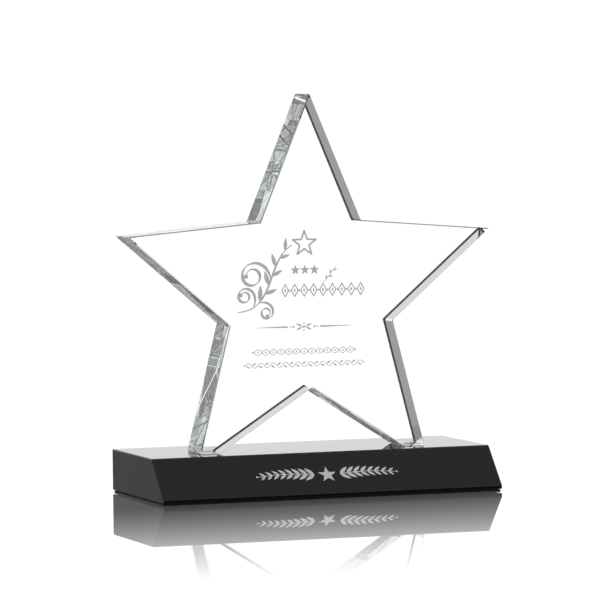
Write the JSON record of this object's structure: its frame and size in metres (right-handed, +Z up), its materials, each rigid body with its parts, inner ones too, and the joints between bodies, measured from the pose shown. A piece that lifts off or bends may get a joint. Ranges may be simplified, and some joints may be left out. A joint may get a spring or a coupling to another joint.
{
  "type": "crystal star award",
  "caption": "Clear glass star slab standing on two cut feet, bonded to a black glass base with a sloping front face.",
  "frame": {"origin": "on the resting surface, under the middle of the base's footprint", "axes": "+Z up; +X along the base; -Y is the way the engraved front of the star and the sloping front of the base face"},
  "size_m": [0.1698, 0.074, 0.1777],
  "materials": {
    "clear_crystal": "polished optical crystal, clear",
    "black_glass": "polished opaque black glass",
    "clear_adhesive": "clear cured adhesive",
    "black_felt": "pressed felt",
    "frosted_engraving": "frosted floor of the engraving that is etched into the crystal",
    "silver_fill": "satin silver paint in an engraved ornament"
  },
  "bodies": {
    "root": {"crystal_star": "clear_crystal", "black_glass_base": "black_glass", "bond_film_left": "clear_adhesive", "bond_film_right": "clear_adhesive", "felt_pad": "black_felt"}
  },
  "joints": []
}
